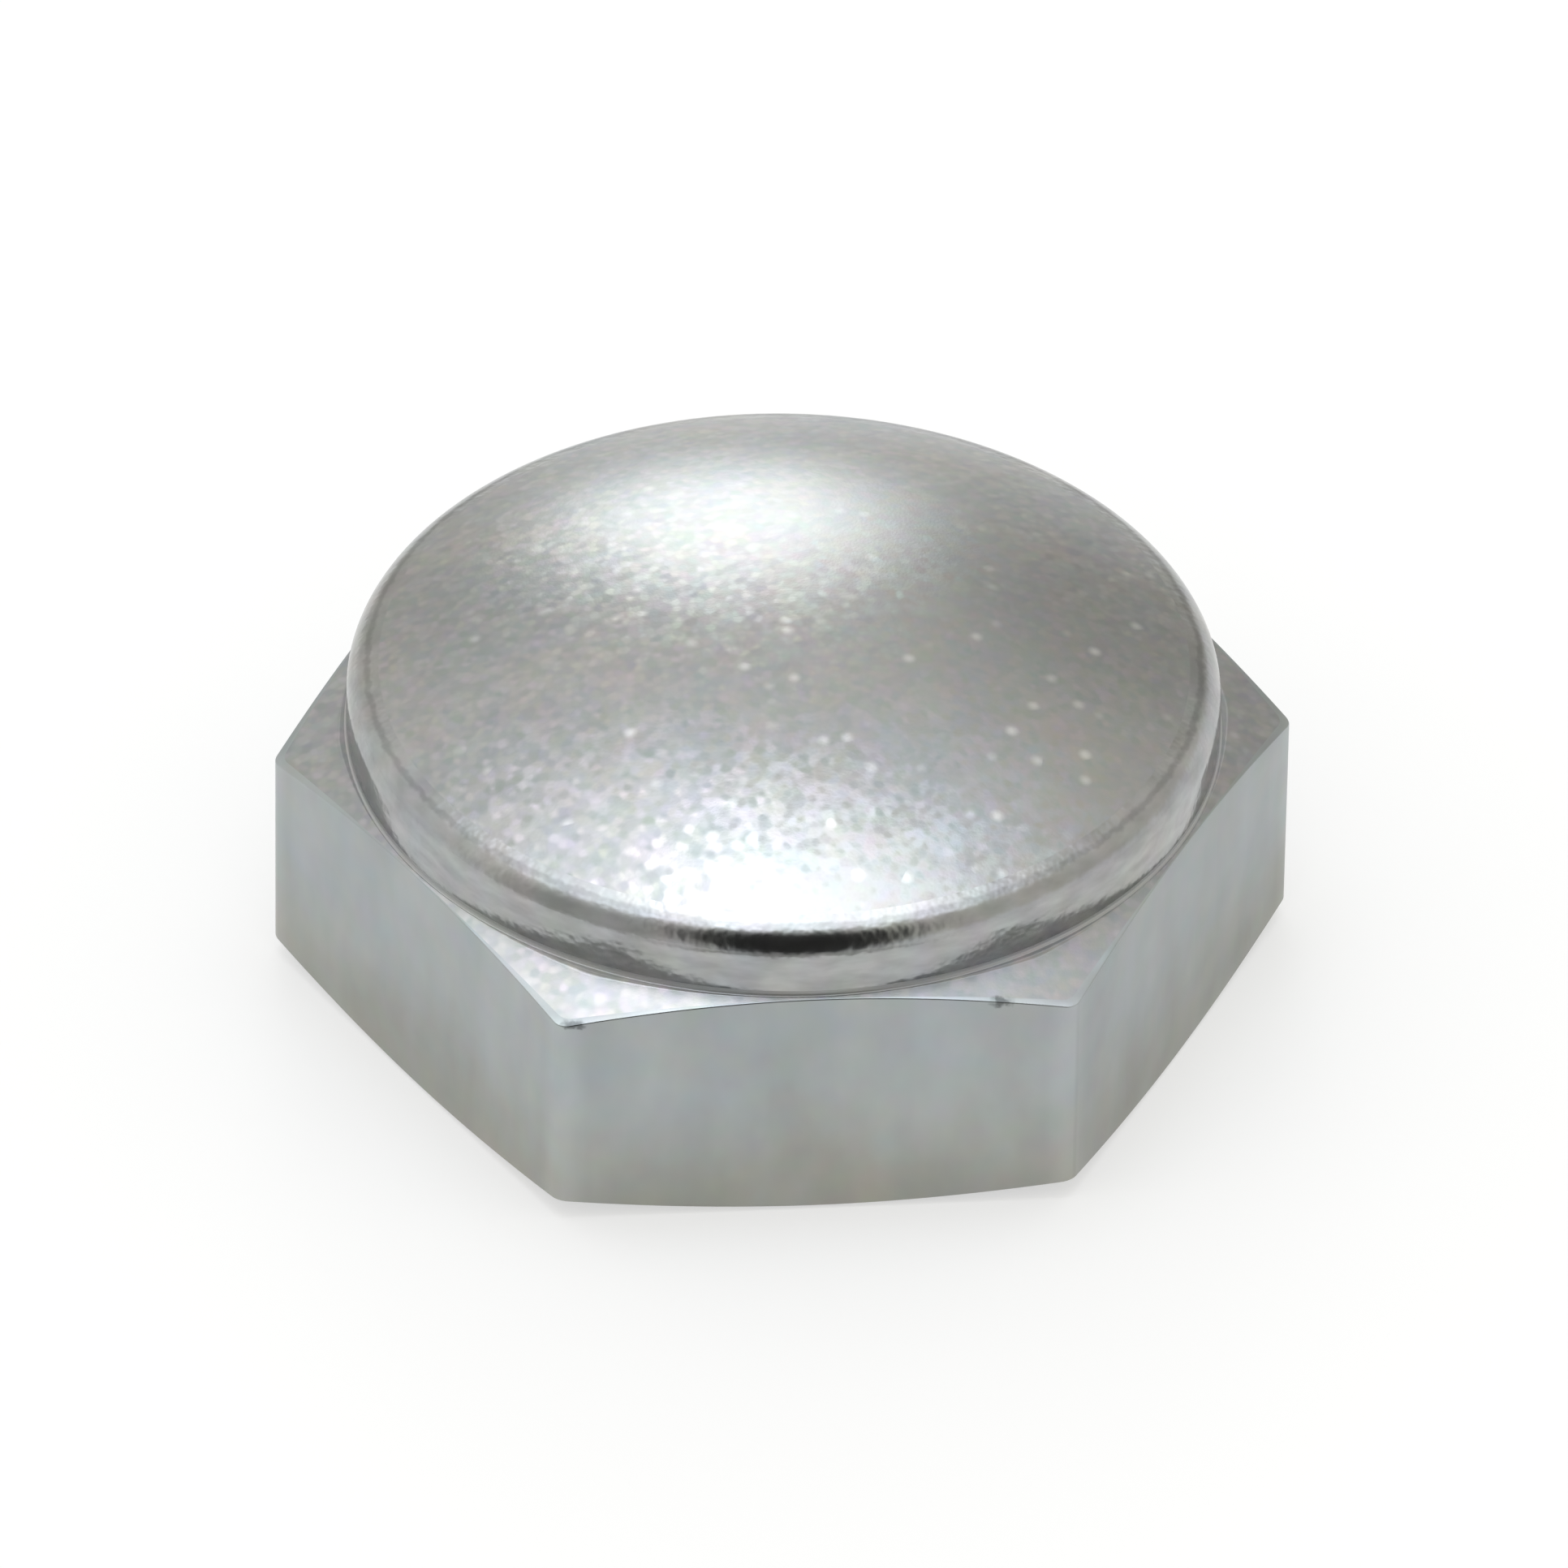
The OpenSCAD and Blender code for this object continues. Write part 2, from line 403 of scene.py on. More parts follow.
def grained(tree, where, colour, metal, tilt, mottle):
    """Leans the shader's normal by up to tilt, grain by grain, and returns the colour, mottled with them."""
    grains = add(tree, "ShaderNodeTexVoronoi", {"Vector": where, "Scale": repeating(GRAIN_WIDTH),
                                                "Smoothness": 1.0}, feature="SMOOTH_F1").outputs["Color"]
    lean = add(tree, "ShaderNodeVectorMath", [grains, (2 * tilt,) * 3, (-tilt,) * 3],
               operation="MULTIPLY_ADD")
    back = add(tree, "ShaderNodeSeparateXYZ", [where]).outputs["Y"]
    coarse = add(tree, "ShaderNodeMapRange", {"Value": back, "From Min": GRAIN_SMOOTH_Y * MM,
                                              "From Max": GRAIN_COARSE_Y * MM, "To Min": GRAIN_SMOOTH,
                                              "To Max": GRAIN_COARSE})
    lean = add(tree, "ShaderNodeVectorMath", {0: lean, "Scale": coarse}, operation="SCALE")
    upright = add(tree, "ShaderNodeNewGeometry").outputs["Normal"]
    leaning = add(tree, "ShaderNodeVectorMath", [upright, lean], operation="ADD")
    leaning = add(tree, "ShaderNodeVectorMath", [leaning], operation="NORMALIZE")
    powder = add(tree, "ShaderNodeTexNoise", {"Vector": where, "Scale": repeating(POWDER_WIDTH),
                                              "Detail": 2.0})
    relief(tree, metal, [(powder, POWDER_DEPTH)], leaning)

    middle = 1 - FLECK_TINT / 2
    grey = add(tree, "ShaderNodeSeparateXYZ", [grains])
    grey = add(tree, "ShaderNodeMapRange", {"Value": grey, "To Min": middle - mottle,
                                            "To Max": middle + mottle})
    flecks = add(tree, "ShaderNodeVectorMath", [grains, (FLECK_TINT,) * 3, grey], operation="MULTIPLY_ADD")
    return add(tree, "ShaderNodeVectorMath", [colour, flecks], operation="MULTIPLY")


print("grain", GRAIN_WIDTH, "mm wide,", round(GRAIN_COARSE / GRAIN_SMOOTH), "times stronger in front")

# %% [markdown]
# A few grains lie just so, and flash like tiny stars. They are the bright specks that the eye finds first,
# and here they are painted glints, drawn as a lighter colour. A second Voronoi pattern of 0.8 mm cells has
# one soft spot in the middle of each cell, and only the cells whose random number is high get theirs, some
# brighter than others. The painted glints fade towards the smooth back as well.

# %% The painted glints
SPECK_SPACING = 0.8
SPECK_REACH = 0.42
SPECK_CHANCE, SPECK_FULL = 0.76, 1.2
SPECKS_FEW_Y, SPECKS_MANY_Y = 9, -3
SPECKS_FEW = 0.25


def glint_painted(tree, where, colour, glint_colour):
    """The colour, with painted glints: specks of a brighter one."""
    cells = add(tree, "ShaderNodeTexVoronoi", {"Vector": where, "Scale": repeating(SPECK_SPACING)})
    spot = add(tree, "ShaderNodeMapRange", {"Value": cells, "From Min": 0.0, "From Max": SPECK_REACH,
                                            "To Min": 1.0, "To Max": 0.0}, interpolation_type="SMOOTHSTEP")
    chance = add(tree, "ShaderNodeSeparateXYZ", [cells.outputs["Color"]])
    chosen = add(tree, "ShaderNodeMapRange", {"Value": chance, "From Min": SPECK_CHANCE,
                                              "From Max": SPECK_FULL})
    back = add(tree, "ShaderNodeSeparateXYZ", [where]).outputs["Y"]
    many = add(tree, "ShaderNodeMapRange", {"Value": back, "From Min": SPECKS_FEW_Y * MM,
                                            "From Max": SPECKS_MANY_Y * MM, "To Min": SPECKS_FEW,
                                            "To Max": 1.0})
    bright = add(tree, "ShaderNodeMath", [spot, chosen], operation="MULTIPLY")
    bright = add(tree, "ShaderNodeMath", [bright, many], operation="MULTIPLY")
    return add(tree, "ShaderNodeMix", {"Factor": bright, MIX_A: colour, MIX_B: srgb(glint_colour)}, data_type="RGBA")


print("specks in about", round(100 * (1 - SPECK_CHANCE)), "of 100 cells,", SPECK_SPACING, "mm apart")

# %% [markdown]
# The crown is the grain at its liveliest, on metal that was left quite shiny, with painted shade along its
# edge. The chamfer's grain was pressed flatter and its skin is duller, so that the crown stands out from
# it. Its colour is darkened with painted shade away from the front left corner, which stays bright, and
# the two dark spots sit on its front edge.

# %% Grained zinc of the crown and of the chamfer
LIT_CORNER_DEG = -120
CHAMFER_SHADE_FROM, CHAMFER_SHADE_TO = 10.5, 15
CHAMFER_SHADE = 0.72


def grained_crown():
    """Bright grained zinc, with painted shade along its edge and painted glints."""
    material, tree, where, colour, metal = new_zinc("zinc_on_grained_crown", roughness=0.24)
    colour = grained(tree, where, colour, metal, tilt=0.03, mottle=0.08)
    # painted shade along the crown's edge
    colour = crease_shaded(tree, where, colour)
    # painted glints on the crown
    feed(tree, glint_painted(tree, where, colour, glint_colour="#F4F4F2"), metal.inputs["Base Color"])
    return material


def grained_chamfer():
    """Duller, flatter grain, with painted shade away from one corner, and dark spots at its front edge."""
    material, tree, where, colour, metal = new_zinc(
        "zinc_on_grained_chamfer", roughness=0.36, cool="#B7BABD", warm="#BCBBB8")
    colour = grained(tree, where, colour, metal, tilt=0.013, mottle=0.1)
    # painted shade: the chamfer's colour darkens away from its front left corner
    side = add(tree, "ShaderNodeVectorMath", [where, heading(LIT_CORNER_DEG)], operation="DOT_PRODUCT")
    colour = toned(tree, colour, side, CHAMFER_SHADE_FROM * MM, CHAMFER_SHADE_TO * MM, CHAMFER_SHADE, 1.0)
    # painted glints on the chamfer
    colour = glint_painted(tree, where, colour, glint_colour="#C8CACC")
    feed(tree, edge_spotted(tree, where, colour), metal.inputs["Base Color"])
    return material


finishes = {GRAINED: grained_chamfer(), CROWN: grained_crown()}
print("made", finishes[GRAINED].name, "and", finishes[CROWN].name)

# %% [markdown]
# Wrench flats. The bar was drawn through a hexagonal die, which leaves the flats smooth, with broad soft
# waves and faint lines along the bar. To the eye they are satin mirrors, calm and a little cloudy. The
# waves are 3 mm wide and blur what the flats mirror. Real draw lines are about 0.05 mm wide, too fine to
# show, so they are drawn 0.25 mm wide and twenty times as long. Water stains run down the flats, the lower
# half is a little warmer and darker with painted shade, the rounded corners carry a painted highlight, and
# one flat is darkened with painted shade.

# %% Drawn zinc of the wrench flats
WAVE_WIDTH, WAVE_DEPTH = 3.0, 0.12
LINE_WIDTH, LINE_DEPTH = 0.25, 0.002
LINE_STRETCH = (1, 1, 0.05)
STAIN_WIDTH = 2.6
STAIN_STRETCH = (1, 1, 0.45)
STAIN_DARK, STAIN_LIGHT = 0.93, 1.07
STAIN_WANDER = 3.0
UPPER_TONE_BOTTOM, LOWER_TONE_TOP = 7.5, 2.0
UPPER_TONE, LOWER_TONE = "#FAFEFF", "#F0EEE4"
CORNER_FROM, CORNER_TO = 16.8, 17.2
CORNER_HIGHLIGHT = 1.12
SHADED_FLAT_DEG = -30
SHADED_FLAT_TONE = 0.88
SHADED_FLAT_FACING = 0.9  # how nearly a face points that way before it is dulled
NOISE_LOW, NOISE_HIGH = 0.3, 0.7  # nearly all of a noise lies between these


def drawn_flats():
    """Satin zinc with draw lines, stains, a painted highlight on the corners and painted shade on one flat.
    """
    material, tree, where, colour, metal = new_zinc(
        "zinc_on_drawn_steel", roughness=0.32, cool="#A2A7AA", warm="#ADADAA")
    # painted highlight: the colour lightens on the rounded corners
    colour = toned(tree, colour, radius_of(tree, where), CORNER_FROM * MM, CORNER_TO * MM, 1.0, CORNER_HIGHLIGHT)
    stretched = add(tree, "ShaderNodeMapping", {"Vector": where, "Scale": STAIN_STRETCH})
    stains = add(tree, "ShaderNodeTexNoise", {"Vector": stretched, "Scale": repeating(STAIN_WIDTH),
                                              "Detail": 3.0})
    colour = toned(tree, colour, stains, NOISE_LOW, NOISE_HIGH, STAIN_DARK, STAIN_LIGHT, easing="LINEAR")
    # painted shade: the flat that faces this way is darkened
    facing = add(tree, "ShaderNodeNewGeometry").outputs["Normal"]
    facing = add(tree, "ShaderNodeVectorMath", [facing, heading(SHADED_FLAT_DEG)], operation="DOT_PRODUCT")
    colour = toned(tree, colour, facing, SHADED_FLAT_FACING, 1.0, 1.0, SHADED_FLAT_TONE)
    # towards the bottom the colour turns warmer and a little darker, and the darkening is painted shade
    height = add(tree, "ShaderNodeSeparateXYZ", [where]).outputs["Z"]
    height = add(tree, "ShaderNodeMath", [stains, STAIN_WANDER * MM, height], operation="MULTIPLY_ADD")
    lowness = add(tree, "ShaderNodeMapRange", {"Value": height, "From Min": LOWER_TONE_TOP * MM,
                                            "From Max": UPPER_TONE_BOTTOM * MM, "To Min": 1.0, "To Max": 0.0},
               interpolation_type="SMOOTHSTEP")
    tone = add(tree, "ShaderNodeMix", {"Factor": lowness, MIX_A: srgb(UPPER_TONE), MIX_B: srgb(LOWER_TONE)},
               data_type="RGBA")
    colour = add(tree, "ShaderNodeVectorMath", [colour, tone], operation="MULTIPLY")
    feed(tree, edge_spotted(tree, where, colour), metal.inputs["Base Color"])
    waves = add(tree, "ShaderNodeTexNoise", {"Vector": where, "Scale": repeating(WAVE_WIDTH), "Detail": 1.0})
    along = add(tree, "ShaderNodeMapping", {"Vector": where, "Scale": LINE_STRETCH})
    lines = add(tree, "ShaderNodeTexNoise", {"Vector": along, "Scale": repeating(LINE_WIDTH), "Detail": 2.0})
    relief(tree, metal, [(waves, WAVE_DEPTH), (lines, LINE_DEPTH)])
    return material


finishes[DRAWN] = drawn_flats()
print("made", finishes[DRAWN].name)

# %% [markdown]
# Collar and rim. These were turned last with a sharp tool, so they are the brightest part of the nut,
# almost a mirror, with fine lines round the axis. A noise that is squashed so that it changes along Z only
# would give perfect rings. A little change round the axis makes them streaks, which is what a real tool
# leaves. Real feed lines are a few hundredths of a millimetre apart, too fine to show, so the bumps are
# drawn 0.12 mm apart and the streaks of colour 0.45 mm. A shallow 0.35 mm waviness makes the reflection of
# a lamp break up at its ends.

# %% Turned zinc of the collar and rim
STREAK_WIDTH = 0.45
STREAK_STRETCH = (0.35, 0.35, 1)
STREAK_DARK, STREAK_LIGHT = 0.88, 1.12
RIPPLE_WIDTH, RIPPLE_DEPTH = 0.35, 0.016
TURNING_WIDTH, TURNING_DEPTH = 0.12, 0.0015
TURNING_STRETCH = (0.05, 0.05, 1)


def turned_collar():
    """Shiny turned zinc with streaks, and painted shade along the edge where the crown begins."""
    material, tree, where, colour, metal = new_zinc("zinc_on_turned_steel", roughness=0.2)
    round_axis = add(tree, "ShaderNodeMapping", {"Vector": where, "Scale": STREAK_STRETCH})
    streaks = add(tree, "ShaderNodeTexNoise", {"Vector": round_axis, "Scale": repeating(STREAK_WIDTH),
                                               "Detail": 2.0})
    colour = toned(tree, colour, streaks, NOISE_LOW, NOISE_HIGH, STREAK_DARK, STREAK_LIGHT, easing="LINEAR")
    # painted shade along the edge where the crown begins
    feed(tree, crease_shaded(tree, where, colour), metal.inputs["Base Color"])
    ripples = add(tree, "ShaderNodeTexNoise", {"Vector": where, "Scale": repeating(RIPPLE_WIDTH),
                                               "Detail": 1.0})
    rings = add(tree, "ShaderNodeMapping", {"Vector": where, "Scale": TURNING_STRETCH})
    lines = add(tree, "ShaderNodeTexNoise", {"Vector": rings, "Scale": repeating(TURNING_WIDTH),
                                             "Detail": 1.0})
    relief(tree, metal, [(ripples, RIPPLE_DEPTH), (lines, TURNING_DEPTH)])
    return material


finishes[RIM] = turned_collar()
print("made", finishes[RIM].name)

# %% [markdown]
# Bearing face, lower chamfer and countersink. They were faced on a lathe, and the tool's feed leaves rings
# that catch the light as bright arcs. A Wave texture in its ring form, round Z, repeats them. A real feed
# is about 0.12 mm, too fine to show, so the rings are drawn 0.75 mm apart.

# %% Faced zinc of the underside
RING_SPACING = 0.754
WAVE_TEXTURE_RATE = 20  # radians of a Wave texture's ring pattern in one unit, at a scale of 1
RING_WOBBLE = 0.4
RING_DEPTH = 0.004


def faced_underside():
    """Satin zinc with the rings of a facing cut."""
    material, tree, where, _, metal = new_zinc("zinc_on_faced_steel", roughness=0.26)
    rings = add(tree, "ShaderNodeTexWave", {"Vector": where, "Distortion": RING_WOBBLE,
                                            "Scale": math.tau / (RING_SPACING * MM * WAVE_TEXTURE_RATE)},
                wave_type="RINGS", rings_direction="Z")
    relief(tree, metal, [(rings, RING_DEPTH)])
    return material


finishes[FACED] = faced_underside()
print("made", finishes[FACED].name, "with rings", round(RING_SPACING, 2), "mm apart")

# %% [markdown]
# Thread and bore. Plating is thin and dull inside a blind hole, because the current hardly reaches it, so
# this is the same metal with a rougher, cloudier surface. The narrow root of the collar, where dirt and
# dried plating salts stay, is duller still, and needs nothing but the metal's own drift of colour, because
# it is 0.1 mm wide.

# %% Dull zinc of the thread and of the collar's root
BORE_CLOUD_WIDTH, BORE_CLOUD_DEPTH = 0.3, 0.004


def plated_thread():
    """Thin dull zinc, as it is inside a blind hole."""
    material, tree, where, _, metal = new_zinc("zinc_in_thread", roughness=0.42)
    clouds = add(tree, "ShaderNodeTexNoise", {"Vector": where, "Scale": repeating(BORE_CLOUD_WIDTH),
                                              "Detail": 3.0})
    relief(tree, metal, [(clouds, BORE_CLOUD_DEPTH)])
    return material


finishes[THREAD] = plated_thread()
finishes[ROOT] = new_zinc("zinc_in_the_root", roughness=0.5, cool="#A8ACAF", warm="#AFADA9")[0]
print("finishes:", sorted(material.name for material in finishes.values()))

# %% [markdown]
# Geometry Nodes turn the section into the nut. A six-point circle with filleted corners is the hexagon's
# outline, and it is the rail that the section is swept along. Curve to Mesh makes the grid of faces, and
# Set Position then puts each point where its row's numbers and its column's reach say. The tree's inputs
# are the sizes that a maker might change, and they carry those sizes in metres.

# %% Start the node tree
tree = bpy.data.node_groups.new("turned_hexagon_nut", "GeometryNodeTree")
tree.is_modifier = True
tree.interface.new_socket("Geometry", in_out="INPUT", socket_type="NodeSocketGeometry")
tree.interface.new_socket("Geometry", in_out="OUTPUT", socket_type="NodeSocketGeometry")
sizes = {
    "Flat radius": ("NodeSocketFloat", FLAT_R * MM),
    "Corner radius": ("NodeSocketFloat", CORNER_RADIUS * MM),
    "Columns on a flat": ("NodeSocketInt", 32),
    "Columns round a corner": ("NodeSocketInt", 10),
    "Bore radius": ("NodeSocketFloat", BORE_R * MM),
    "Thread depth": ("NodeSocketFloat", (THREAD_MAJOR_R - BORE_R) * MM),
    "Thread pitch": ("NodeSocketFloat", THREAD_PITCH * MM),
}
sockets = {name: tree.interface.new_socket(name, in_out="INPUT", socket_type=kind)
           for name, (kind, _) in sizes.items()}
given = add(tree, "NodeGroupInput").outputs
print("the tree takes", ", ".join(sizes))

# %% [markdown]
# The rail. Fillet Curve replaces each of the six corners by a short arc of points, and only the last point
# of an arc starts a straight flat. So Subdivide Curve gets its number of cuts from each point's index. The
# outline is stored as an attribute, because the sweep would otherwise forget it.

# %% The hexagon that the section follows
SIDES = 6
SAME_INDEX = 0.5
sharp = add(tree, "ShaderNodeMath", [given["Flat radius"], math.cos(math.pi / SIDES)], operation="DIVIDE")
hexagon = add(tree, "GeometryNodeCurvePrimitiveCircle", {"Resolution": SIDES, "Radius": sharp})
rounded = add(tree, "GeometryNodeFilletCurve", {"Curve": hexagon, "Radius": given["Corner radius"],
                                                "Count": given["Columns round a corner"]}, mode="POLY")
per_corner = add(tree, "ShaderNodeMath", [given["Columns round a corner"], 1.0], operation="ADD")
turn = add(tree, "ShaderNodeMath", [add(tree, "GeometryNodeInputIndex"), per_corner], operation="MODULO")
starts_flat = add(tree, "ShaderNodeMath", [turn, given["Columns round a corner"], SAME_INDEX],
                  operation="COMPARE")
cuts = add(tree, "ShaderNodeMath", [starts_flat, given["Columns on a flat"]], operation="MULTIPLY")
rail = add(tree, "GeometryNodeSubdivideCurve", {"Curve": rounded, "Cuts": cuts})
marked = add(tree, "GeometryNodeStoreNamedAttribute", {"Geometry": rail, "Name": "outline",
                                                       "Value": add(tree, "GeometryNodeInputPosition")},
             data_type="FLOAT_VECTOR", domain="POINT")
profile = add(tree, "GeometryNodeMeshToCurve", {"Mesh": given["Geometry"]})
swept = add(tree, "GeometryNodeCurveToMesh", {"Curve": marked, "Profile Curve": profile})
print("rail and sweep:", len(tree.nodes), "nodes so far")

# %% [markdown]
# Where each point goes. Its column's outline point gives a direction and a reach past the middle of a flat.
# Its row gives a place and a lean. Reach and lean together move the place outwards, and a chamfer's lean
# drops it too.

# %% The radius and height of each point
stored = {name: add(tree, "GeometryNodeInputNamedAttribute", {"Name": name}, data_type=kind)
          for name, kind in (("outline", "FLOAT_VECTOR"), ("place", "FLOAT_VECTOR"), ("lean", "FLOAT_VECTOR"),
                             ("cut", "FLOAT"), ("finish", "FLOAT"))}
out = add(tree, "ShaderNodeVectorMath", [stored["outline"]], operation="NORMALIZE")
reach = add(tree, "ShaderNodeVectorMath", [stored["outline"]], operation="LENGTH")
extra = add(tree, "ShaderNodeMath", [reach, given["Flat radius"]], operation="SUBTRACT")
place = add(tree, "ShaderNodeSeparateXYZ", [stored["place"]]).outputs
lean = add(tree, "ShaderNodeSeparateXYZ", [stored["lean"]]).outputs
radius = add(tree, "ShaderNodeMath", [lean["X"], extra, place["X"]], operation="MULTIPLY_ADD")
height = add(tree, "ShaderNodeMath", [lean["Y"], extra, place["Y"]], operation="MULTIPLY_ADD")
print("attributes read:", ", ".join(stored))

# %% [markdown]
# The thread is one formula: a groove whose height grows by one pitch in a turn. The height and the angle
# round the axis give a position within one pitch. A metric thread has 60 degree flanks, with a flat of an
# eighth of the pitch at the bottom of the groove and a flat of a quarter at the top of the ridge. The
# groove only ever cuts into the wall, and each row's own share of the depth fades it out at the blind end.

# %% Cut the thread and place the points
GROOVE_CENTRE = 0.5
GROOVE_FLOOR = 1 / 8
RIDGE_TOP = 1 / 4
compass = add(tree, "ShaderNodeSeparateXYZ", [stored["outline"]]).outputs
turns = add(tree, "ShaderNodeMath", [compass["Y"], compass["X"]], operation="ARCTAN2")
turns = add(tree, "ShaderNodeMath", [turns, math.tau], operation="DIVIDE")
pitches = add(tree, "ShaderNodeMath", [height, given["Thread pitch"]], operation="DIVIDE")
pitches = add(tree, "ShaderNodeMath", [pitches, turns], operation="SUBTRACT")
off_centre = add(tree, "ShaderNodeMath", [pitches], operation="FRACT")
off_centre = add(tree, "ShaderNodeMath", [off_centre, GROOVE_CENTRE], operation="SUBTRACT")
off_centre = add(tree, "ShaderNodeMath", [off_centre], operation="ABSOLUTE")
groove = add(tree, "ShaderNodeMapRange", {"Value": off_centre, "From Min": GROOVE_FLOOR / 2,
                                          "From Max": (1 - RIDGE_TOP) / 2, "To Min": 1.0, "To Max": 0.0})
depth = add(tree, "ShaderNodeMath", [groove, given["Thread depth"]], operation="MULTIPLY")
depth = add(tree, "ShaderNodeMath", [depth, stored["cut"]], operation="MULTIPLY")
cut_radius = add(tree, "ShaderNodeMath", [depth, given["Bore radius"]], operation="ADD")
threaded = add(tree, "ShaderNodeMath", [stored["cut"], 0.0], operation="GREATER_THAN")
cut_radius = add(tree, "ShaderNodeMath", [cut_radius, threaded], operation="MULTIPLY")
final_radius = add(tree, "ShaderNodeMath", [radius, cut_radius], operation="MAXIMUM")
spread = add(tree, "ShaderNodeVectorMath", {0: out, "Scale": final_radius}, operation="SCALE")
lift = add(tree, "ShaderNodeCombineXYZ", {"Z": height})
target = add(tree, "ShaderNodeVectorMath", [spread, lift], operation="ADD")
placed = add(tree, "GeometryNodeSetPosition", {"Geometry": swept, "Position": target})
print("thread depth", round(THREAD_MAJOR_R - BORE_R, 3), "mm at pitch", THREAD_PITCH, "mm")

# %% [markdown]
# The sweep leaves a ring of points on top of each other at both poles, so points that touch are merged,
# which closes them. Then every region gets its finish, one after the other along the section. A face
# between two finishes has the mean of their numbers, and the limit for the second lies past that, so such a
# face keeps the first.

# %% Close the poles, smooth and give each region its finish
TOUCHING = 0.0005
LIMIT_BEFORE = 0.4
closed = add(tree, "GeometryNodeMergeByDistance", {"Geometry": placed, "Distance": TOUCHING * MM})
smooth = add(tree, "GeometryNodeSetShadeSmooth", {"Geometry": closed, "Shade Smooth": True})
last = add(tree, "GeometryNodeRealizeInstances", {"Geometry": smooth})
for number in sorted(finishes):
    reached = add(tree, "ShaderNodeMath", [stored["finish"], number - LIMIT_BEFORE], operation="GREATER_THAN")
    last = add(tree, "GeometryNodeSetMaterial", {"Geometry": last, "Selection": reached,
                                                 "Material": finishes[number]})
add(tree, "NodeGroupOutput", {"Geometry": last})
print("the whole tree:", len(tree.nodes), "nodes")

# %% [markdown]
# The tree goes on the section's object as a modifier. Its inputs are set by their identifiers before
# anything is evaluated, the result is copied to a plain mesh, and the modifier goes away. A check of the
# volume tells whether the faces point outwards, because a surface that is turned inside out has a negative
# volume.

# %% Run the tree and keep its result
modifier = nut.modifiers.new("turned_hexagon_nut", "NODES")
modifier.node_group = tree
for name, (_, value) in sizes.items():
    modifier[sockets[name].identifier] = value
evaluated = nut.evaluated_get(bpy.context.evaluated_depsgraph_get())
body_mesh = bpy.data.meshes.new_from_object(evaluated)
nut.modifiers.remove(modifier)
nut.data = body_mesh

shape = bmesh.new()
shape.from_mesh(body_mesh)
if shape.calc_volume(signed=True) < 0:
    bmesh.ops.reverse_faces(shape, faces=shape.faces)
    print("faces turned outwards")
open_edges = sum(not edge.is_manifold for edge in shape.edges)
print("nut:", len(shape.faces), "faces, open edges", open_edges,
      "volume", round(shape.calc_volume(signed=True) / MM ** 3, 1), "mm3")
print("materials:", [m.name for m in body_mesh.materials])
shape.to_mesh(body_mesh)
shape.free()

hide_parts("lock_nut")
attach(nut, "root")

# %% [markdown]
# The table is a plain pale sheet with soft edges far away. It has a round hole under the nut, smaller than
# the bearing face, which nothing sees from above. From below it lets a view reach the underside of the nut.
# Its paint is half matt, which takes the nut's shadow, and half a plain white that shows to the camera and
# in the metal.

# %% The pale table
FLOOR_R = 600 * MM
FLOOR_HOLE_R = 14 * MM
FLOOR_DROP = 0.01 * MM
FLOOR_SIDES = 128
TABLE_WHITE_SHARE = 0.5

floor_angles = [math.tau * i / FLOOR_SIDES for i in range(FLOOR_SIDES)]
floor_points = [(r * math.cos(a), r * math.sin(a), -FLOOR_DROP) for r in (FLOOR_HOLE_R, FLOOR_R)
                for a in floor_angles]
floor_faces = [(i, FLOOR_SIDES + i, FLOOR_SIDES + (i + 1) % FLOOR_SIDES, (i + 1) % FLOOR_SIDES)
               for i in range(FLOOR_SIDES)]
floor_mesh = bpy.data.meshes.new("table")
floor_mesh.from_pydata(floor_points, [], floor_faces)
floor = bpy.data.objects.new("table", floor_mesh)
bpy.context.scene.collection.objects.link(floor)
table_paint = bpy.data.materials.new("matt_white_table")
table_paint.use_nodes = True
coat = table_paint.node_tree
coat.nodes.clear()
matt = add(coat, "ShaderNodeBsdfDiffuse", {"Color": srgb("#F7F7F6")})
white = add(coat, "ShaderNodeEmission", {"Color": srgb("#FFFFFF"), "Strength": 1.0})
rays = add(coat, "ShaderNodeLightPath").outputs
seen = add(coat, "ShaderNodeMath", [rays["Is Camera Ray"], rays["Is Glossy Ray"]], operation="MAXIMUM")
seen = add(coat, "ShaderNodeMath", [seen, rays["Is Transmission Ray"]], operation="MAXIMUM")
share = add(coat, "ShaderNodeMath", [seen, TABLE_WHITE_SHARE], operation="MULTIPLY")
add(coat, "ShaderNodeOutputMaterial", {"Surface": add(coat, "ShaderNodeMixShader", [share, matt, white])})
floor_mesh.materials.append(table_paint)
print("table", round(FLOOR_R / MM), "mm in radius")

# %% [markdown]
# A polished dome is a small mirror of the studio, so the studio is built with the care of a real one. Every
# panel is given by the direction in which it hangs, as seen from the nut, and by how wide and high it looks
# from there, in degrees. Panels have soft edges, as a real soft box does: full strength out to a core, then
# a smooth fall to nothing at the rim. A hard edge would show in the dome as a line.

# %% Where things hang in the studio
CAMERA_AZIMUTH = -5.0


def direction(azimuth, elevation):
    """The unit vector towards a place in the studio. Azimuth 0 is behind the nut, as the camera sees it."""
    a = math.radians(azimuth - CAMERA_AZIMUTH)
    e = math.radians(elevation)
    return Vector((math.sin(a) * math.cos(e), math.cos(a) * math.cos(e), math.sin(e)))


def turned_to_nut(towards, distance):
    """The place and turn of something flat that faces the nut from that direction."""
    return Matrix.Translation(towards * distance) @ towards.to_track_quat("Z", "Y").to_matrix().to_4x4()


def across(distance, half_angle):
    """The width of a panel at that distance that reaches half_angle to either side of its middle."""
    return 2 * distance * math.tan(math.radians(half_angle))


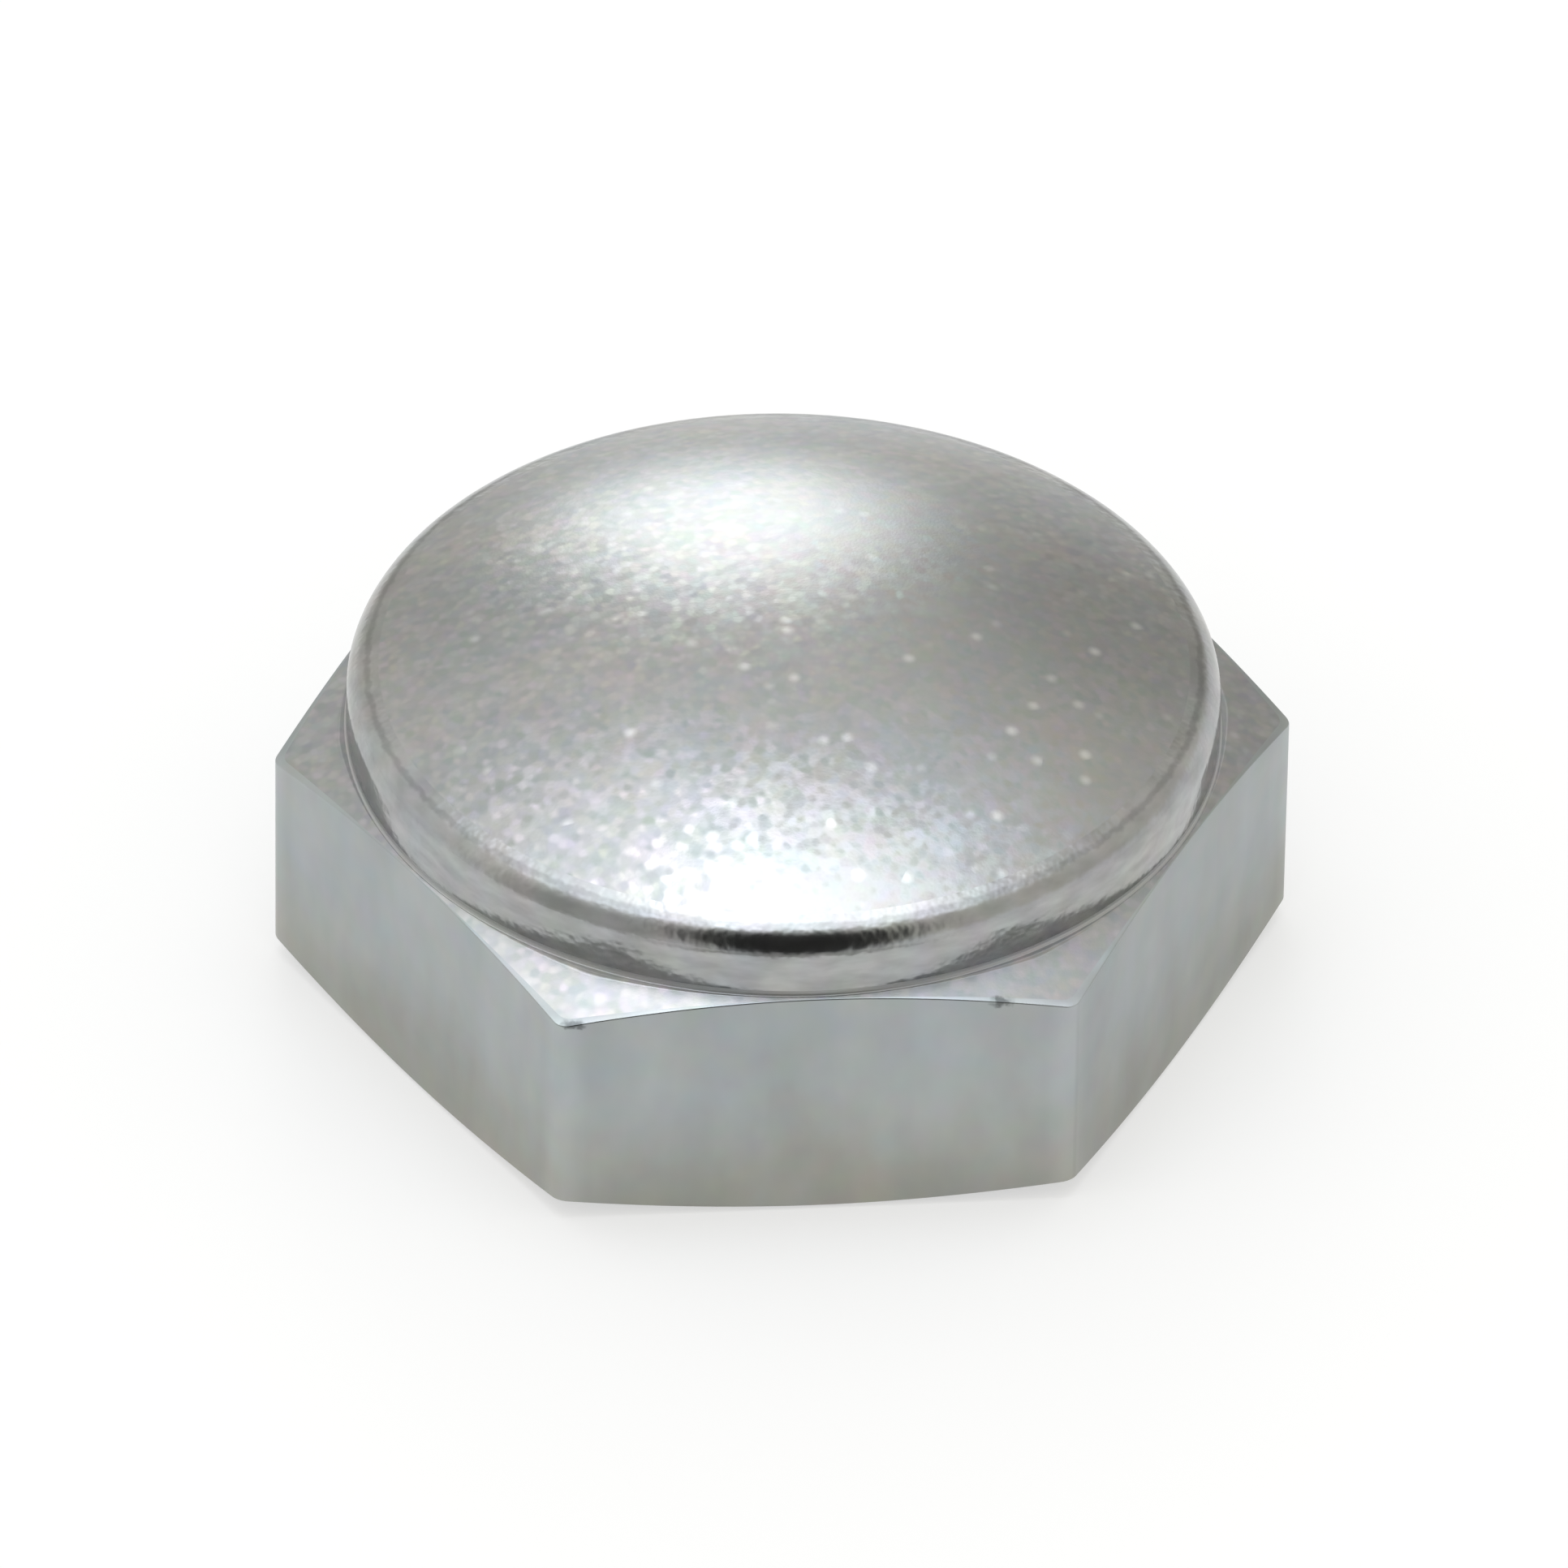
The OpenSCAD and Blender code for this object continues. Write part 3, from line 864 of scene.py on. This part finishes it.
def soft_edge(tree, place, core):
    """A share that is 1 in the middle of a panel, out to its core, and falls smoothly to 0 at its rim."""
    # A panel's own coordinates run from 0 to 1 across it, and these two settings make that -1 to 1.
    centred = add(tree, "ShaderNodeMapping", {"Vector": place, "Location": (-1, -1, 0), "Scale": (2, 2, 0)})
    reach = add(tree, "ShaderNodeVectorMath", [centred], operation="LENGTH")
    return add(tree, "ShaderNodeMapRange", {"Value": reach, "From Min": core, "From Max": 1.0, "To Min": 1.0,
                                            "To Max": 0.0}, interpolation_type="SMOOTHSTEP")


print("straight behind the nut is", tuple(round(value, 3) for value in direction(0, 0)))

# %% [markdown]
# Two kinds of panel hang there. A soft box is an area lamp that lights the nut and shows in it. Its power
# is worked out from how bright its face should look next to a white wall. A card lights nothing: it only
# shows in the metal, lighter or darker than the room, and so it shapes a reflection without changing the
# light.

# %% Soft boxes and cards
def soft_box(name, towards, distance, half_width, half_height, core, brightness, colour):
    """A soft-edged area lamp. Its middle adds that many times the brightness of a white wall."""
    lamp = bpy.data.lights.new(name, "AREA")
    lamp.shape = "RECTANGLE"
    lamp.size = across(distance, half_width)
    lamp.size_y = across(distance, half_height)
    lamp.energy = brightness * math.pi * lamp.size * lamp.size_y
    lamp.color = srgb(colour)[:3]
    lamp.use_nodes = True
    place = add(lamp.node_tree, "ShaderNodeNewGeometry").outputs["Parametric"]
    strength = soft_edge(lamp.node_tree, place, core)
    feed(lamp.node_tree, strength, lamp.node_tree.nodes["Emission"].inputs["Strength"])
    holder = bpy.data.objects.new(name, lamp)
    holder.matrix_world = turned_to_nut(towards, distance)
    holder.visible_camera = False
    bpy.context.scene.collection.objects.link(holder)


def card(name, towards, distance, half_width, half_height, core, brightness, colour):
    """A soft-edged card that shows only in the metal."""
    mesh = bpy.data.meshes.new(name)
    x = across(distance, half_width) / 2
    y = across(distance, half_height) / 2
    mesh.from_pydata([(-x, -y, 0), (x, -y, 0), (x, y, 0), (-x, y, 0)], [], [(0, 1, 2, 3)])
    surface = bpy.data.materials.new(name)
    surface.use_nodes = True
    tree = surface.node_tree
    tree.nodes.clear()
    place = add(tree, "ShaderNodeTexCoord").outputs["Generated"]
    clear = add(tree, "ShaderNodeBsdfTransparent")
    glow = add(tree, "ShaderNodeEmission", {"Color": srgb(colour), "Strength": brightness})
    panel = add(tree, "ShaderNodeMixShader", [soft_edge(tree, place, core), clear, glow])
    add(tree, "ShaderNodeOutputMaterial", {"Surface": panel})
    mesh.materials.append(surface)
    holder = bpy.data.objects.new(name, mesh)
    holder.matrix_world = turned_to_nut(towards, distance)
    bpy.context.scene.collection.objects.link(holder)
    holder.visible_camera = False
    holder.visible_diffuse = False
    holder.visible_shadow = False


print("a panel 0.4 m away and 30 degrees to each side is", round(across(0.4, 30), 2), "m wide")

# %% [markdown]
# The overhead box is the main light, a little blue like daylight. It shows as the bright, sparkling front
# of the dome, with its bulb as a brighter patch. The box behind is the soft highlight on the dome's far
# half. The black card in front gives the rim its dark line. The white card on the left and the pale one on
# the right carry the overhead brightness on round the dome, and the grey cards calm the sides.

# %% Hang the panels
CARD_WHITE = "#FFFEF8"
PANELS = [
    # maker, name, azimuth, elevation, metres away, half width, half height, core, brightness, colour
    (soft_box, "overhead_soft_box", -8, 87, 0.4, 37, 25.5, 0.0, 2.55, "#EBF2FF"),
    (soft_box, "back_soft_box", -4, 24, 0.5, 15, 22, 0.2, 2.3, "#F8FCFF"),
    (card, "black_card_in_front", 176, 33, 0.12, 31, 45, 0.5, 0.02, CARD_WHITE),
    (card, "low_card_in_front", 178, 5, 0.05, 38, 6, 0.3, 0.4, CARD_WHITE),
    (card, "grey_card_front_left", -132, 22, 0.4, 38, 48, 0.3, 0.58, CARD_WHITE),
    (card, "grey_card_back_right", 27, 25, 0.45, 22, 23, 0.2, 0.52, "#FFFCF4"),
    (card, "white_card_left", -58, 69, 0.4, 26, 22, 0.0, 2.15, "#F6F9FF"),
    (card, "bulb_of_the_overhead_box", -36, 80, 0.35, 11, 9, 0.0, 4.2, "#FFFFFF"),
    (card, "pale_card_right", 30, 60, 0.42, 26, 12, 0.0, 1.1, "#FBFCFF"),
    (card, "grey_card_below", 20, -42, 0.4, 40, 24, 0.0, 0.25, CARD_WHITE),
    (card, "grey_card_behind", -10, 17, 0.6, 44, 32, 0.25, 0.7, CARD_WHITE),
]
for maker, name, azimuth, elevation, *measures in PANELS:
    maker(name, direction(azimuth, elevation), *measures)
print("panels:", len(PANELS), "of which lamps:", sum(row[0] is soft_box for row in PANELS))

# %% [markdown]
# Beyond the panels is the room. Low down it is the bright white of the table's surroundings. Higher up its
# walls go from a warm white on the left to a slightly darker warm grey on the right, which is why one side
# of the nut looks calmer than the other.

# %% The room
LEFT_WALL, RIGHT_WALL, LOW_WALL = "#FDFCF9", "#E4E2DA", "#FBFBFB"
WALL_TURN_FROM, WALL_TURN_TO = -0.1, 0.3
WALL_FOOT_DEG, WALL_TOP_DEG = 8, 22

world = bpy.data.worlds.new("white_table_in_a_grey_room")
world.use_nodes = True
room = world.node_tree
sky = add(room, "ShaderNodeTexCoord")
climb = add(room, "ShaderNodeSeparateXYZ", [sky]).outputs["Z"]
right = add(room, "ShaderNodeVectorMath", [sky, direction(90, 0)], operation="DOT_PRODUCT")
turning = add(room, "ShaderNodeMapRange", {"Value": right, "From Min": WALL_TURN_FROM,
                                           "From Max": WALL_TURN_TO}, interpolation_type="SMOOTHSTEP")
walls = add(room, "ShaderNodeMix", {"Factor": turning, MIX_A: srgb(LEFT_WALL), MIX_B: srgb(RIGHT_WALL)},
            data_type="RGBA")
rising = add(room, "ShaderNodeMapRange", {"Value": climb, "From Min": math.sin(math.radians(WALL_FOOT_DEG)),
                                          "From Max": math.sin(math.radians(WALL_TOP_DEG))},
             interpolation_type="SMOOTHSTEP")
all_round = add(room, "ShaderNodeMix", {"Factor": rising, MIX_A: srgb(LOW_WALL), MIX_B: walls},
                data_type="RGBA")
feed(room, all_round, room.nodes["Background"].inputs["Color"])
bpy.context.scene.world = world
print("world:", world.name)

# %% [markdown]
# The camera looks down at the nut from far away through a long lens, which keeps the hexagon's sides almost
# parallel. It is rolled by a degree, and the nut sits a little below the middle of the frame.

# %% The camera
CAMERA_ELEVATION = 38.05
FRAME_PIXELS = 1932
FOCAL_PIXELS = 29316
SENSOR_WIDTH = 36
CAMERA_DISTANCE = 808 * MM
CAMERA_ROLL = 0.90
AIM_HEIGHT = 5 * MM
FRAME_SHIFT = Vector((0.057, 1.095)) * MM

away = direction(0, -CAMERA_ELEVATION)
right = Vector((math.cos(math.radians(CAMERA_AZIMUTH)), math.sin(math.radians(CAMERA_AZIMUTH)), 0))
up = right.cross(away)
aim = Vector((0, 0, AIM_HEIGHT)) + right * FRAME_SHIFT.x + up * FRAME_SHIFT.y
roll = math.radians(CAMERA_ROLL)
tilted_right = right * math.cos(roll) + up * math.sin(roll)
tilted_up = up * math.cos(roll) - right * math.sin(roll)
camera_data = bpy.data.cameras.new("camera")
camera_data.sensor_width = SENSOR_WIDTH
camera_data.lens = SENSOR_WIDTH * FOCAL_PIXELS / FRAME_PIXELS
camera = bpy.data.objects.new("camera", camera_data)
camera.matrix_world = Matrix.Translation(aim - away * CAMERA_DISTANCE) @ Matrix(
    (tilted_right, tilted_up, -away)).transposed().to_4x4()
bpy.context.scene.collection.objects.link(camera)
bpy.context.scene.camera = camera
bpy.context.scene.view_settings.view_transform = "Standard"
print("lens", round(camera_data.lens, 1), "mm")
